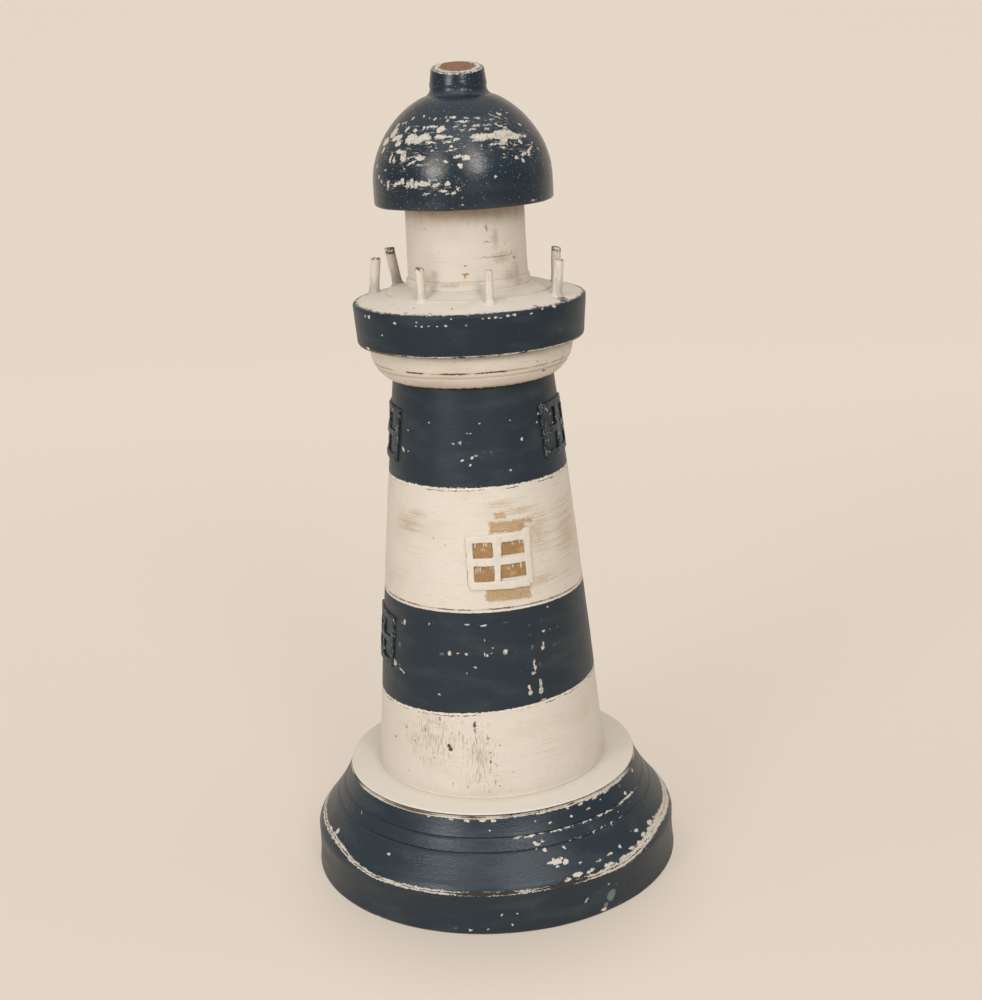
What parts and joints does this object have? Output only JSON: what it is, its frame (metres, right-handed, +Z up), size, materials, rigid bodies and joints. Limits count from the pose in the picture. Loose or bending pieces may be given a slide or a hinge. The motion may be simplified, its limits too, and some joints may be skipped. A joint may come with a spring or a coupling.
{
  "type": "garden lighthouse ornament",
  "caption": "Turned and painted wooden lighthouse ornament with a banded taper tower, a railed gallery, a solid lantern room and a bell-shaped roof on a round stepped base.",
  "frame": {"origin": "centre of the base's underside, on the floor", "axes": "+Z up along the tower's axis, -Y towards the front, +X to the right seen from the front"},
  "size_m": [0.131, 0.131, 0.2812],
  "materials": {
    "navy_painted_wood": "navy paint, satin, rubbed through along the edges",
    "white_painted_wood": "off-white paint, satin, with stains and open pores",
    "bare_wood": "unpainted",
    "screw_steel": "zinc plated"
  },
  "bodies": {
    "root": {"base_plinth": "navy_painted_wood", "tower": "white_painted_wood", "gallery_collar": "white_painted_wood", "gallery_deck": "navy_painted_wood", "lantern_room": "white_painted_wood", "roof_dome": "navy_painted_wood", "centre_dowel": "bare_wood", "roof_dowel": "bare_wood", "base_screw": "screw_steel", "rail_post_1": "white_painted_wood", "rail_post_2": "white_painted_wood", "rail_post_3": "white_painted_wood", "rail_post_4": "white_painted_wood", "rail_post_5": "white_painted_wood", "rail_post_6": "white_painted_wood", "rail_post_7": "white_painted_wood", "rail_post_8": "white_painted_wood", "window_front": "white_painted_wood", "window_upper_left": "navy_painted_wood", "window_upper_right": "navy_painted_wood", "window_lower_left": "navy_painted_wood"}
  },
  "joints": []
}
